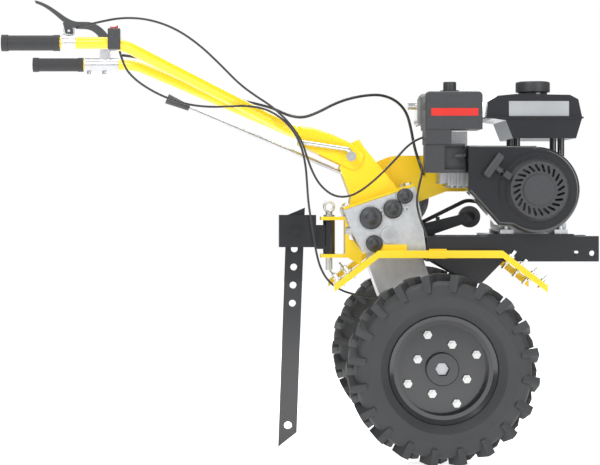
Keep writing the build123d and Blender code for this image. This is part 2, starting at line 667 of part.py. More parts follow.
with BuildPart() as clutch_bracket:
    with Locations((LEVER_X - 8, HANDLE_HALF_SPAN, HANDLE_Z)):
        Cylinder(TUBE_BAND_R, 84, rotation=(0, 90, 0))
    for sign in (1, -1):
        with Locations((LEVER_X, HANDLE_HALF_SPAN + sign * (LEVER_HALF_W + GAP + 1.5), (HANDLE_Z + LEVER_Z) / 2 + 5)):
            Box(26, 3, LEVER_Z - HANDLE_Z + 10)
    with Locations((LEVER_X - 8, HANDLE_HALF_SPAN, HANDLE_Z)):
        Cylinder(TUBE_R + RUN, 90, rotation=(0, 90, 0), mode=Mode.SUBTRACT)
    for x in (LEVER_X - 40, LEVER_X - 2):
        with Locations((x, HANDLE_HALF_SPAN, HANDLE_Z - TUBE_BAND_R - 3)):
            Cylinder(5, 7)
    pin_y(LEVER_X, LEVER_Z, LEVER_PIN_R, HANDLE_HALF_SPAN - 13, HANDLE_HALF_SPAN + 13)
save(clutch_bracket, "clutch_bracket")

with BuildPart() as clutch_lever:
    with BuildSketch(across(HANDLE_HALF_SPAN)):
        with BuildLine():
            upper = Spline((-664, 1076), (-603, 1046), (-560, 1023), (-524, 1021), (-492, 1003), (-472, 972))
            nose = ThreePointArc(upper @ 1, (LEVER_X + 8, LEVER_Z - 8), (LEVER_X - 10, LEVER_Z - 4))
            lower = Spline(nose @ 1, (-500, 978), (-528, 1003), (-562, 1006), (-606, 1034), (-661, 1069))
            Line(lower @ 1, upper @ 0)
        make_face()
    extrude(amount=LEVER_HALF_W, both=True)
    pin_y(LEVER_X, LEVER_Z, LEVER_PIN_R + RUN, HANDLE_HALF_SPAN - 20, HANDLE_HALF_SPAN + 20, Mode.SUBTRACT)
save(clutch_lever, "clutch_lever")

with BuildPart() as throttle_clamp:
    with Locations((THROTTLE_X, -HANDLE_HALF_SPAN, HANDLE_Z)):
        Cylinder(TUBE_BAND_R, 30, rotation=(0, 90, 0))
    with Locations((THROTTLE_X, -HANDLE_HALF_SPAN + 6, HANDLE_Z + 20)):
        Box(26, 4, 26)
    with Locations((THROTTLE_X, -HANDLE_HALF_SPAN, HANDLE_Z)):
        Cylinder(TUBE_R + RUN, 40, rotation=(0, 90, 0), mode=Mode.SUBTRACT)
    pin_y(THROTTLE_X, HANDLE_Z + 26, 3, -HANDLE_HALF_SPAN - 6, -HANDLE_HALF_SPAN + 5)
save(throttle_clamp, "throttle_clamp")

with BuildPart() as throttle_lever:
    with BuildSketch(across(-HANDLE_HALF_SPAN + 3.5)):
        with BuildLine():
            Polyline(
                (THROTTLE_X - 8, HANDLE_Z + 22),
                (THROTTLE_X + 8, HANDLE_Z + 20),
                (THROTTLE_X + 8, HANDLE_Z + 32),
                (THROTTLE_X - 6, HANDLE_Z + 46),
                (THROTTLE_X - 14, HANDLE_Z + 44),
                close=True,
            )
        make_face()
    extrude(amount=3)
    pin_y(THROTTLE_X, HANDLE_Z + 26, 3 + RUN, -HANDLE_HALF_SPAN - 10, -HANDLE_HALF_SPAN + 10, Mode.SUBTRACT)
save(throttle_lever, "throttle_lever")

with BuildPart() as switch_body:
    with Locations((SWITCH_X, -HANDLE_HALF_SPAN, HANDLE_Z + 8)):
        Box(27, 34, 46)
    fillet(switch_body.edges(), 3)
    tube_line = handle_route(-1)
    with BuildSketch(Plane(origin=tube_line @ 0, z_dir=tube_line % 0)):
        Circle(TUBE_R + RUN)
    sweep(path=tube_line, mode=Mode.SUBTRACT)
    with Locations((SWITCH_X, -HANDLE_HALF_SPAN, HANDLE_Z + 31)):
        Box(19, 15, 14, mode=Mode.SUBTRACT)
save(switch_body, "switch_body")

with BuildPart() as stop_rocker:
    with BuildSketch(across(-HANDLE_HALF_SPAN + 7)):
        with BuildLine():
            Polyline(
                (SWITCH_X - 8, HANDLE_Z + 27),
                (SWITCH_X + 8, HANDLE_Z + 27),
                (SWITCH_X + 9, HANDLE_Z + 38),
                (SWITCH_X, HANDLE_Z + 34),
                (SWITCH_X - 9, HANDLE_Z + 35),
                close=True,
            )
        make_face()
    extrude(amount=14)
save(stop_rocker, "stop_rocker")

with BuildPart() as clamp_lever:
    pin_y(PIVOT_X, PIVOT_Z, 11, CLAMP_LEVER_Y - 8, -HEAD_HALF_W - GAP)
    with BuildLine() as route:
        FilletPolyline(
            (PIVOT_X, CLAMP_LEVER_Y, PIVOT_Z + 4),
            (PIVOT_X - 6, CLAMP_LEVER_Y, PIVOT_Z + 16),
            (PIVOT_X - 115, CLAMP_LEVER_Y, PIVOT_Z + 33),
            radius=[9],
        )
    with BuildSketch(Plane(origin=route.line @ 0, z_dir=route.line % 0)):
        Circle(CLAMP_ROD_R)
    sweep()
    pin_y(PIVOT_X, PIVOT_Z, PIVOT_R, CLAMP_LEVER_Y - 12, 58)
    pin_y(PIVOT_X, PIVOT_Z, 11, HEAD_HALF_W + GAP, 58)
save(clamp_lever, "clamp_lever")


# ------------------------------------------------------------------ hitch and drag bar
HITCH_TOP_Z, HITCH_LOW_Z = 533.0, 446.0
HITCH_PLATE = 8.0
PIN_R = 8.0
PIN_TRAVEL_CLEAR = 6.0
HOLDER_BACK_X, HOLDER_FRONT_X = -60.0, 26.0
HOLDER_TOP_Z, HOLDER_LOW_Z = 541.0, 466.0
HOLDER_HALF_W = 25.0
HOLDER_WALL = 6.0
PIN_TUBE_R = 14.0
BAR_TOP_Z = 558.0
BAR_CORNER_Z = 34.0
BAR_AT_TOP_X = -20.5


def bar_x(z):
    """The drag bar's centre line at a height."""
    return BAR_AT_TOP_X - (BAR_TOP_Z - z) * tan(radians(BAR_TILT))


with BuildPart() as hitch_bracket:
    for z in (HITCH_TOP_Z, HITCH_LOW_Z):
        with Locations((67, 0, z)):
            Box(60, 64, HITCH_PLATE)
    with Locations((97.5, 0, (HITCH_TOP_Z + HITCH_LOW_Z) / 2)):
        Box(9, 64, HITCH_TOP_Z - HITCH_LOW_Z + HITCH_PLATE)
    for sign in SIDES.values():
        with BuildSketch(across(sign * 30 + 2)):
            with BuildLine():
                Polyline((100, 486), (100, 442), (128, 424), (134, 454), (112, 482), close=True)
            make_face()
        extrude(amount=4)
    with Locations((PIN_X, 0, (HITCH_TOP_Z + HITCH_LOW_Z) / 2)):
        Cylinder(PIN_R + RUN, 2 * RAIL_BACK_X, mode=Mode.SUBTRACT)
    with BuildSketch(Plane.XZ):
        add(case_side.sketch)
        offset(amount=GAP)
    extrude(amount=GEARBOX_HALF_W, both=True, mode=Mode.SUBTRACT)
save(hitch_bracket, "hitch_bracket")

with BuildPart() as drag_bar_holder:
    holder_length = HOLDER_FRONT_X - HOLDER_BACK_X
    holder_mid = ((HOLDER_FRONT_X + HOLDER_BACK_X) / 2, 0, (HOLDER_TOP_Z + HOLDER_LOW_Z) / 2)
    with Locations(holder_mid):
        Box(holder_length, 2 * HOLDER_HALF_W, HOLDER_TOP_Z - HOLDER_LOW_Z)
    with Locations((PIN_X, 0, (HITCH_TOP_Z + HITCH_LOW_Z) / 2)):
        Cylinder(PIN_TUBE_R, HITCH_TOP_Z - HITCH_LOW_Z - HITCH_PLATE - 2 * GAP)
    with Locations(((HOLDER_FRONT_X + PIN_X) / 2, 0, (HITCH_TOP_Z + HITCH_LOW_Z) / 2)):
        Box(PIN_X - HOLDER_FRONT_X, 2 * PIN_TUBE_R - 8, 56)
    with Locations((PIN_X, 0, 500)):
        Cylinder(PIN_R + RUN, 200, mode=Mode.SUBTRACT)
    with BuildSketch(Plane.XZ):
        with BuildLine():
            half_slot = BAR_WIDTH / 2 + GAP
            Polyline((bar_x(600) - half_slot, 600), (bar_x(600) + half_slot, 600),
                     (bar_x(400) + half_slot, 400), (bar_x(400) - half_slot, 400), close=True)
        make_face()
    extrude(amount=BAR_THICK / 2 + GAP, both=True, mode=Mode.SUBTRACT)
    for sign in SIDES.values():
        with Locations((holder_mid[0], sign * (BAR_THICK / 2 + 9), holder_mid[2])):
            Box(holder_length - 2 * HOLDER_WALL, 8, 100, mode=Mode.SUBTRACT)
    pin_y(bar_x(504), 504, BAR_HOLE_R - 1, -HOLDER_HALF_W - 12, HOLDER_HALF_W + 12)
    for y in (HOLDER_HALF_W, -HOLDER_HALF_W - 8):
        with BuildSketch(across(y + 8)):
            with Locations((bar_x(504), 504)):
                RegularPolygon(11, 6, major_radius=False)
        extrude(amount=8)
save(drag_bar_holder, "drag_bar_holder")

with BuildPart() as drag_bar:
    with BuildSketch(Plane.XZ):
        with BuildLine():
            half = BAR_WIDTH / 2
            Polyline(
                (bar_x(BAR_TOP_Z - 18) - half, BAR_TOP_Z - 18),
                (bar_x(BAR_TOP_Z) + half, BAR_TOP_Z),
                (bar_x(BAR_CORNER_Z) + half, BAR_CORNER_Z),
                (bar_x(0) - half, 0),
                close=True,
            )
        make_face()
    extrude(amount=BAR_THICK / 2, both=True)
    for i in range(5):
        z = 504.0 - i * BAR_HOLE_PITCH
        pin_y(bar_x(z), z, BAR_HOLE_R, -20, 20, Mode.SUBTRACT)
    pin_y(bar_x(50), 50, BAR_TIP_HOLE_R, -20, 20, Mode.SUBTRACT)
save(drag_bar, "drag_bar")

with BuildPart() as hitch_pin:
    pin_top = HITCH_TOP_Z + 16
    with Locations((PIN_X, 0, (pin_top + 413) / 2)):
        Cylinder(PIN_R, pin_top - 413)
    with Locations((PIN_X, 0, HITCH_TOP_Z + HITCH_PLATE / 2 + GAP + 2)):
        Cylinder(13, 4)
    with Locations(Pos(PIN_X, 0, pin_top + 11) * Rot(90, 0, 0)):
        Torus(11, 3.2)
save(hitch_pin, "hitch_pin")


# ------------------------------------------------------------------ engine
CRANK_AT = (CRANK_X, CRANK_Z)
BLOCK_HALF_L = 78.0
BLOCK_WALL = 6.0
BLOCK_NEAR_Y, BLOCK_FAR_Y = -66.0, 66.0
BLOCK_LOW_Z = RAIL_TOP_Z + BASE_THICK
BLOCK_TOP_Z = 676.0
BARREL_BACK_X = 372.0
BARREL_LOW_Z, BARREL_TOP_Z = 606.0, 700.0
SHROUD_BACK_X = 366.0
SHROUD_TOP_Z = 699.0
SHROUD_WALL = 2.5
FLYWHEEL_R = 82.0
TANK_LOW_Z, TANK_SEAM_Z, TANK_TOP_Z = 716.0, 763.0, 817.0
TANK_NEAR_Y, TANK_FAR_Y = -112.0, 100.0
TANK_BACK_X, TANK_FRONT_X = 408.0, 630.0
TANK_WALL = 3.0
CAP_X, CAP_Y, CAP_R = 528.0, -28.0, 39.5
FILTER_BACK_X, FILTER_FRONT_X = 271.0, 401.0
FILTER_NEAR_Y, FILTER_FAR_Y = -110.0, -4.0
FILTER_LOW_Z, FILTER_TOP_Z = 737.0, 823.0
ELBOW_LOW_Z = 638.0
ELBOW_FRONT_X = 362.0
KNOB_X, KNOB_R = 332.0, 15.0
SLOT_COUNT = 24
PULL_ANGLE = 36.0

with BuildPart() as engine_block:
    block_mid_y = (BLOCK_NEAR_Y + BLOCK_FAR_Y) / 2
    block_size_y = BLOCK_FAR_Y - BLOCK_NEAR_Y
    with Locations((CRANK_X, block_mid_y, (BLOCK_LOW_Z + BLOCK_TOP_Z) / 2)):
        Box(2 * BLOCK_HALF_L, block_size_y, BLOCK_TOP_Z - BLOCK_LOW_Z)
    fillet(engine_block.edges().filter_by(Axis.Y), 16)
    with Locations(((BARREL_BACK_X + CRANK_X - BLOCK_HALF_L + 4) / 2, 0, (BARREL_LOW_Z + BARREL_TOP_Z) / 2)):
        Box(CRANK_X - BLOCK_HALF_L + 4 - BARREL_BACK_X, 96, BARREL_TOP_Z - BARREL_LOW_Z)
    with Locations((CRANK_X, block_mid_y, (BLOCK_LOW_Z + BLOCK_TOP_Z) / 2)):
        Box(
            2 * (BLOCK_HALF_L - BLOCK_WALL),
            block_size_y - 2 * BLOCK_WALL,
            BLOCK_TOP_Z - BLOCK_LOW_Z - 2 * BLOCK_WALL,
            mode=Mode.SUBTRACT,
        )
    with Locations((BARREL_BACK_X + 30, 0, (BARREL_LOW_Z + BARREL_TOP_Z) / 2)):
        Cylinder(35, 200, rotation=(0, 90, 0), mode=Mode.SUBTRACT)
    for i in range(5):
        with Locations((BARREL_BACK_X + 10 + 13 * i, 0, (BARREL_LOW_Z + BARREL_TOP_Z) / 2)):
            Box(5, 110, BARREL_TOP_Z - BARREL_LOW_Z - 4)
            Cylinder(35, 8, rotation=(0, 90, 0), mode=Mode.SUBTRACT)
    for x in FOOT_X:
        for sign in SIDES.values():
            with Locations((x, sign * FOOT_Y, BLOCK_LOW_Z + 5)):
                Box(30, 26, 10)
    for x in FOOT_X:
        for sign in SIDES.values():
            with Locations((x, sign * FOOT_Y, BLOCK_LOW_Z)):
                Cylinder(FOOT_BOLT_R + RUN, 60, mode=Mode.SUBTRACT)
    pin_y(*CRANK_AT, 24, BLOCK_NEAR_Y - 6, BLOCK_NEAR_Y + 4)
    pin_y(*CRANK_AT, 24, BLOCK_FAR_Y - 4, BLOCK_FAR_Y + 8)
    pin_y(*CRANK_AT, CRANK_R + RUN, -200, 200, Mode.SUBTRACT)
    with Locations((BARREL_BACK_X - 22, 0, (BARREL_LOW_Z + BARREL_TOP_Z) / 2)):
        Box(44, 100, BARREL_TOP_Z - BARREL_LOW_Z - 4)
    for i in range(3):
        with Locations((BARREL_BACK_X - 8 - 13 * i, 0, (BARREL_LOW_Z + BARREL_TOP_Z) / 2)):
            Box(5, 112, BARREL_TOP_Z - BARREL_LOW_Z + 4)
    with Locations((BARREL_BACK_X - 52, 0, (BARREL_LOW_Z + BARREL_TOP_Z) / 2)):
        Box(18, 84, BARREL_TOP_Z - BARREL_LOW_Z - 16)
    with Locations((BARREL_BACK_X - 6, 0, (BARREL_LOW_Z + BARREL_TOP_Z) / 2)):
        Cylinder(34, 40, rotation=(0, 90, 0), mode=Mode.SUBTRACT)
save(engine_block, "engine_block")

with BuildPart() as frame_bolts:
    for x in (CASE_TOP_BACK[0] + 10, CASE_TOP_FRONT[0] - 12):
        for sign in SIDES.values():
            spot = Pos(x, sign * (FLANGE_HALF_W - 12), on_seat(x, GAP + seat_up)) * Rot(0, -SEAT_SLOPE, 0)
            with Locations(spot * Pos(0, 0, 3.1)):
                Cylinder(6.5, 6)
    for x in FOOT_X:
        for sign in SIDES.values():
            with Locations((x, sign * FOOT_Y, BLOCK_LOW_Z + 10.2 + 3)):
                Cylinder(7, 6)
            with Locations((x, sign * FOOT_Y, RAIL_TOP_Z - 2 * SHEET + 2)):
                Cylinder(FOOT_BOLT_R, 62)
            with Locations((x, sign * FOOT_Y, RAIL_TOP_Z - SHEET - 3.2)):
                Cylinder(7, 6)

with BuildPart() as crankshaft:
    pin_y(*CRANK_AT, CRANK_R, FAN_FRONT_Y + 4, BELT_Y + 22)
    for y in (-22, 22):
        pin_y(*CRANK_AT, 44, y - 9, y + 9)
save(crankshaft, "crankshaft")

with BuildPart() as flywheel:
    pin_y(*CRANK_AT, FLYWHEEL_R, FAN_FRONT_Y + 18, FAN_FRONT_Y + 34)
    pin_y(*CRANK_AT, FLYWHEEL_R - 10, FAN_FRONT_Y + 26, FAN_FRONT_Y + 36, Mode.SUBTRACT)
    for x, z in ring_of(16, FLYWHEEL_R - 16):
        spot = Pos(CRANK_X + x, FAN_FRONT_Y + 13, CRANK_Z + z) * Rot(0, -degrees(atan2(z, x)) + 20, 0)
        with Locations(spot):
            Box(26, 12, 3)
    pin_y(*CRANK_AT, 22, FAN_FRONT_Y + 14, FAN_FRONT_Y + 50)
    pin_y(*CRANK_AT, CRANK_R + RUN, -200, 200, Mode.SUBTRACT)
save(flywheel, "flywheel")

with BuildPart() as fan_housing:
    with BuildSketch(across(BLOCK_NEAR_Y - GAP)) as shroud_side:
        with BuildLine():
            Polyline(
                (SHROUD_BACK_X, SHROUD_TOP_Z),
                (SHROUD_BACK_X, 596),
                (378, 583),
                (434, 519),
                (470, BLOCK_LOW_Z + 19),
                (CRANK_X, BLOCK_LOW_Z + 19),
                (CRANK_X, SHROUD_TOP_Z - 1),
                close=True,
            )
        make_face()
        with Locations(CRANK_AT):
            Circle(FAN_R)
    shroud_depth = BLOCK_NEAR_Y - GAP - FAN_FRONT_Y
    extrude(amount=shroud_depth)
    fillet(fan_housing.faces().sort_by(Axis.Y)[0].outer_wire().edges(), 7)
    with BuildSketch(across(BLOCK_NEAR_Y - GAP)):
        add(shroud_side.sketch)
        offset(amount=-SHROUD_WALL)
    extrude(amount=shroud_depth - SHROUD_WALL, mode=Mode.SUBTRACT)
    pin_y(*CRANK_AT, RECOIL_R + 14, FAN_FRONT_Y - 6, FAN_FRONT_Y)
    pin_y(*CRANK_AT, RECOIL_R - 3, FAN_FRONT_Y - 20, FAN_FRONT_Y + 10, Mode.SUBTRACT)
    pin_y(*CRANK_AT, FLYWHEEL_R + 3, FAN_FRONT_Y + 5, FAN_FRONT_Y + 20, Mode.SUBTRACT)
save(fan_housing, "fan_housing")

with BuildPart() as recoil_cover:
    cover_y = FAN_FRONT_Y - 6 - GAP
    with BuildSketch(across(cover_y)):
        with Locations(CRANK_AT):
            Circle(RECOIL_R)
    extrude(amount=22, taper=18)
    with BuildSketch(across(cover_y)):
        with Locations(CRANK_AT):
            Circle(RECOIL_R - 3)
    extrude(amount=19, taper=18, mode=Mode.SUBTRACT)
    with BuildSketch(across(cover_y)):
        with Locations(CRANK_AT):
            with PolarLocations(50, SLOT_COUNT, start_angle=4):
                SlotOverall(19, 5.4, rotation=30)
    extrude(amount=30, mode=Mode.SUBTRACT)
    pin_y(*CRANK_AT, 34.5, cover_y - 25, cover_y - 19)
    with Locations((CRANK_X - 69, cover_y - 9, CRANK_Z + 33)):
        Box(18, 18, 14, rotation=(0, 35, 0))
    with Locations(Pos(CRANK_X - 69, cover_y - 9, CRANK_Z + 33) * Rot(0, -90 + PULL_ANGLE, 0)):
        Cylinder(3.5, 60, mode=Mode.SUBTRACT)
save(recoil_cover, "recoil_cover")

with BuildPart() as recoil_handle:
    out = Pos(CRANK_X - 69, cover_y - 9, CRANK_Z + 33) * Rot(0, -90 + PULL_ANGLE, 0)
    with Locations(out * Pos(0, 0, 38)):
        Box(62, 16, 18)
    fillet(recoil_handle.edges(), 5)
    with Locations(out * Pos(0, 0, 23)):
        Cylinder(7, 14)
    with Locations(out * Pos(0, 0, 8)):
        Cylinder(2, 20)
save(recoil_handle, "recoil_handle")

TANK_WALL = 4.0
TANK_SIDE = (
    (TANK_BACK_X + 2, TANK_SEAM_Z),
    (TANK_BACK_X + 5, TANK_TOP_Z - 17),
    (TANK_BACK_X + 28, TANK_TOP_Z - 4),
    (TANK_BACK_X + 70, TANK_TOP_Z),
    (TANK_FRONT_X - 30, TANK_TOP_Z - 2),
    (TANK_FRONT_X - 11, TANK_TOP_Z - 12),
    (TANK_FRONT_X - 2, TANK_SEAM_Z),
    (TANK_FRONT_X - 16, TANK_LOW_Z),
    (TANK_BACK_X + 62, TANK_LOW_Z),
    (TANK_BACK_X + 46, TANK_SEAM_Z - 6),
)

TANK_WALL = 4.0
TANK_SIDE = (
    (TANK_BACK_X + 2, TANK_SEAM_Z),
    (TANK_BACK_X + 5, TANK_TOP_Z - 17),
    (TANK_BACK_X + 28, TANK_TOP_Z - 4),
    (TANK_BACK_X + 70, TANK_TOP_Z),
    (TANK_FRONT_X - 30, TANK_TOP_Z - 2),
    (TANK_FRONT_X - 11, TANK_TOP_Z - 12),
    (TANK_FRONT_X - 2, TANK_SEAM_Z),
    (TANK_FRONT_X - 16, TANK_LOW_Z),
    (TANK_BACK_X + 62, TANK_LOW_Z),
    (TANK_BACK_X + 46, TANK_SEAM_Z - 6),
)

with BuildPart() as fuel_tank:
    tank_mid_y = (TANK_NEAR_Y + TANK_FAR_Y) / 2
    tank_size_y = TANK_FAR_Y - TANK_NEAR_Y
    with BuildSketch(across(TANK_FAR_Y - 6)):
        with BuildLine():
            Polyline(*TANK_SIDE, close=True)
        make_face()
    extrude(amount=tank_size_y - 12)
    fillet(fuel_tank.edges().filter_by(Axis.Y).group_by(Axis.Z)[-1], 8)
    with Locations(((TANK_BACK_X + TANK_FRONT_X) / 2, tank_mid_y, TANK_SEAM_Z)):
        Box(TANK_FRONT_X - TANK_BACK_X, tank_size_y, 4)
    with Locations((CAP_X, CAP_Y, TANK_TOP_Z)):
        Cylinder(34, 12)
    with BuildSketch(across(TANK_FAR_Y - 6 - TANK_WALL)):
        with BuildLine():
            Polyline(*TANK_SIDE, close=True)
        make_face()
        offset(amount=-TANK_WALL, mode=Mode.REPLACE)
    extrude(amount=tank_size_y - 12 - 2 * TANK_WALL, mode=Mode.SUBTRACT)
    with Locations((CAP_X, CAP_Y, TANK_TOP_Z)):
        Cylinder(31, 20, mode=Mode.SUBTRACT)
    for x in (TANK_BACK_X + 80, TANK_FRONT_X - 40):
        for y in (BLOCK_NEAR_Y + 20, BLOCK_FAR_Y - 10):
            with Locations((x, y, (BLOCK_TOP_Z + TANK_LOW_Z + 1) / 2)):
                Cylinder(8, TANK_LOW_Z - BLOCK_TOP_Z + 1)
save(fuel_tank, "fuel_tank")

with BuildPart() as fuel_cap:
    with Locations((CAP_X, CAP_Y, TANK_TOP_Z + 8 + GAP)):
        Cylinder(CAP_R, 24, align=(Align.CENTER, Align.CENTER, Align.MIN))
    fillet(fuel_cap.edges().sort_by(Axis.Z)[-1], 4)
    with Locations((CAP_X, CAP_Y, TANK_TOP_Z + 8 + GAP)):
        Cylinder(CAP_R - 3, 20, align=(Align.CENTER, Align.CENTER, Align.MIN), mode=Mode.SUBTRACT)
save(fuel_cap, "fuel_cap")

with BuildPart() as air_cleaner:
    with Locations(((FILTER_BACK_X + FILTER_FRONT_X) / 2, (FILTER_NEAR_Y + FILTER_FAR_Y) / 2, (FILTER_LOW_Z + FILTER_TOP_Z) / 2)):
        Box(FILTER_FRONT_X - FILTER_BACK_X, FILTER_FAR_Y - FILTER_NEAR_Y, FILTER_TOP_Z - FILTER_LOW_Z)
    fillet(air_cleaner.edges().filter_by(Axis.Y).group_by(Axis.Z)[-1], 10)
    fillet(air_cleaner.faces().sort_by(Axis.Y)[0].edges().group_by(Axis.Z)[-1], 5)
    with Locations(((FILTER_BACK_X + FILTER_FRONT_X) / 2, (FILTER_NEAR_Y + FILTER_FAR_Y) / 2, (FILTER_LOW_Z + FILTER_TOP_Z) / 2 + 4)):
        Box(FILTER_FRONT_X - FILTER_BACK_X - 8, FILTER_FAR_Y - FILTER_NEAR_Y - 8, FILTER_TOP_Z - FILTER_LOW_Z - 20, mode=Mode.SUBTRACT)
    with Locations(((FILTER_BACK_X + 330) / 2, -72, (FILTER_LOW_Z + 704) / 2)):
        Box(330 - FILTER_BACK_X, 70, FILTER_LOW_Z - 704 + 2)
    with Locations(((FILTER_BACK_X + ELBOW_FRONT_X) / 2, -79, (704 + ELBOW_LOW_Z) / 2)):
        Box(ELBOW_FRONT_X - FILTER_BACK_X, 44, 704 - ELBOW_LOW_Z)
    with Locations((338, -100, 672)):
        Box(46, 26, 54, mode=Mode.SUBTRACT)
    with Locations((KNOB_X, -57, FILTER_TOP_Z + 2)):
        Cylinder(22, 5)
        Cylinder(4 + RUN, 40, mode=Mode.SUBTRACT)
save(air_cleaner, "air_cleaner")

with BuildPart() as filter_knob:
    with Locations((KNOB_X, -57, FILTER_TOP_Z + 5 + GAP)):
        Cylinder(KNOB_R, 19, align=(Align.CENTER, Align.CENTER, Align.MIN))
    fillet(filter_knob.edges().sort_by(Axis.Z)[-1], 2)
    with Locations((KNOB_X, -57, FILTER_TOP_Z + 6)):
        Cylinder(4, 50, align=(Align.CENTER, Align.CENTER, Align.MAX))
save(filter_knob, "filter_knob")

CHOKE_X, CHOKE_Z = 344.0, 676.0
with BuildPart() as carburettor:
    with Locations((352, -28, 717)):
        Box(44, 36, 34)
    with Locations((340, -4, 722)):
        Cylinder(13, 30, rotation=(90, 0, 0))
    add(engine_block.part, mode=Mode.SUBTRACT)
save(carburettor, "carburettor")

with BuildPart() as choke_lever:
    pin_y(CHOKE_X, CHOKE_Z, 4, -104, -87.3)
    with Locations(Pos(CHOKE_X, -104, CHOKE_Z) * Rot(0, -4, 0) * Pos(6, 0, 0)):
        Box(24, 3, 7)
    with Locations(Pos(CHOKE_X, -104, CHOKE_Z) * Rot(0, -4, 0) * Pos(15, -5, 0)):
        Cylinder(2.5, 12, rotation=(90, 0, 0))
save(choke_lever, "choke_lever")

with BuildPart() as muffler:
    with Locations((330, 60, 786)):
        Box(130, 84, 78)
    fillet(muffler.edges().filter_by(Axis.Y), 16)
    with Locations((330, 60, 786)):
        Box(122, 76, 70, mode=Mode.SUBTRACT)
    with Locations((334, 30, 725)):
        Cylinder(14, 44)
    with Locations((258, 60, 800)):
        Cylinder(11, 22, rotation=(0, 90, 0))
save(muffler, "muffler")


# ------------------------------------------------------------------ belt drive
WEB = 5.0
GROOVE = 5.0
IDLER_AT = (IDLER_X, IDLER_Z)
ARM_AT = (ARM_PIVOT_X, ARM_PIVOT_Z)
BELT_SLACK = 8.0
WIRE_END = (322.0, 94.0, 540.0)


def pulley(place, outer_r, bore_r):
    """A grooved pulley about a shaft along Y in the belt's plane; a large one is dished to a web."""
    half = PULLEY_WIDTH / 2
    boss_r = bore_r + 8
    dish = [(boss_r, WEB), (outer_r - 16, WEB)] if outer_r > 2 * bore_r + 20 and outer_r > 50 else [(boss_r, half)]
    groove = [(outer_r, half), (outer_r - GROOVE - 2, 2), (outer_r - GROOVE - 2, -2), (outer_r, -half)]
    upper = [(bore_r + RUN, half + 4), (boss_r, half + 4), *dish]
    lower = [(r, -y) for r, y in reversed(upper)]
    with BuildPart() as wheel:
        with BuildSketch(Plane(origin=(place[0], BELT_Y, place[1]), x_dir=(1, 0, 0), z_dir=(0, 0, 1))):
            with BuildLine():
                Polyline(*upper, *groove, *lower, close=True)
            make_face()
        revolve(axis=Axis((place[0], BELT_Y, place[1]), (0, 1, 0)))
    return wheel


save(pulley(INPUT_AT, DRIVEN_PULLEY_R, SHAFT_R), "driven_pulley")
save(pulley(CRANK_AT, ENGINE_PULLEY_R, CRANK_R), "engine_pulley")

with BuildPart() as idler_pulley:
    pin_y(*IDLER_AT, IDLER_R, BELT_Y - 9, BELT_Y + 9)
    pin_y(*IDLER_AT, IDLER_R - 5, BELT_Y + 5, BELT_Y + 12, Mode.SUBTRACT)
    pin_y(*IDLER_AT, 6 + RUN, 0, 200, Mode.SUBTRACT)
save(idler_pulley, "idler_pulley")

with BuildPart() as idler_arm:
    with BuildSketch(across(ARM_Y + ARM_THICK / 2)) as arm_side:
        with Locations(ARM_AT):
            Circle(16)
        with Locations(IDLER_AT):
            Circle(11)
        make_hull()
    extrude(amount=ARM_THICK)
    pin_y(*IDLER_AT, 6, ARM_Y - ARM_THICK / 2, BELT_Y + 14)
    pin_y(*IDLER_AT, 9, ARM_Y, BELT_Y - 9.3)
    pin_y(*ARM_AT, 7 + RUN, 0, 200, Mode.SUBTRACT)
    with Locations((WIRE_END[0], WIRE_END[1] + 5, WIRE_END[2] - 12)):
        Box(8, 18, 16)
save(idler_arm, "idler_arm")


def belt_line(extra):
    """The belt's outline in its own plane, wider than its path by an amount.

    The lower strand rises over the idler, which stands clear of it while the clutch is out.
    """
    leave = centre_at(INPUT_AT, -60, DRIVEN_PULLEY_R + GAP + extra)
    meet = centre_at(CRANK_AT, -100, ENGINE_PULLEY_R + GAP + extra)
    with BuildSketch(Plane.XY) as under:
        with Locations(IDLER_AT):
            Circle(IDLER_R + BELT_SLACK + BELT_THICK - extra)
        with BuildLine():
            Polyline(leave, (leave[0], 300), (meet[0], 300), meet)
        make_hull()
    with BuildSketch(Plane.XY) as loop:
        with Locations(INPUT_AT):
            Circle(DRIVEN_PULLEY_R + GAP + extra)
        with Locations(CRANK_AT):
            Circle(ENGINE_PULLEY_R + GAP + extra)
        make_hull()
        add(under.sketch, mode=Mode.SUBTRACT)
    return loop.sketch


with BuildPart() as drive_belt:
    with BuildSketch(across(BELT_Y + PULLEY_WIDTH / 2 - 3)):
        add(belt_line(BELT_THICK))
        add(belt_line(0), mode=Mode.SUBTRACT)
    extrude(amount=PULLEY_WIDTH - 6)
save(drive_belt, "drive_belt")

GUARD_DRIVEN_R, GUARD_ENGINE_R = 102.0, 84.0
GUARD_NEAR_Y, GUARD_FAR_Y = 98.0, 166.0
GUARD_WALL = 2.0
GUARD_EDGE = ((100, 506), (277, 572), (344, 597), (470, 597), (700, 500))

with BuildPart() as belt_guard:
    with BuildSketch(across(GUARD_FAR_Y)) as guard_side:
        with Locations(INPUT_AT):
            Circle(GUARD_DRIVEN_R)
        with Locations(CRANK_AT):
            Circle(GUARD_ENGINE_R)
        make_hull()
        with BuildLine():
            Polyline(*GUARD_EDGE, (700, 300), (100, 300), close=True)
        make_face(mode=Mode.SUBTRACT)
    extrude(amount=GUARD_FAR_Y - GUARD_NEAR_Y)
    with BuildSketch(across(GUARD_FAR_Y - GUARD_WALL)):
        with Locations(INPUT_AT):
            Circle(GUARD_DRIVEN_R - GUARD_WALL)
        with Locations(CRANK_AT):
            Circle(GUARD_ENGINE_R - GUARD_WALL)
        make_hull()
    extrude(amount=GUARD_FAR_Y - GUARD_NEAR_Y - 2 * GUARD_WALL, mode=Mode.SUBTRACT)
    pin_y(*INPUT_AT, 22, 90, 110, Mode.SUBTRACT)
    pin_y(*CRANK_AT, 30, 90, 110, Mode.SUBTRACT)
    for x, z in ((CRANK_X - 60, 650), (CRANK_X + 55, 640)):
        pin_y(x, z, 7, BLOCK_FAR_Y + GAP, GUARD_NEAR_Y)
save(belt_guard, "belt_guard")


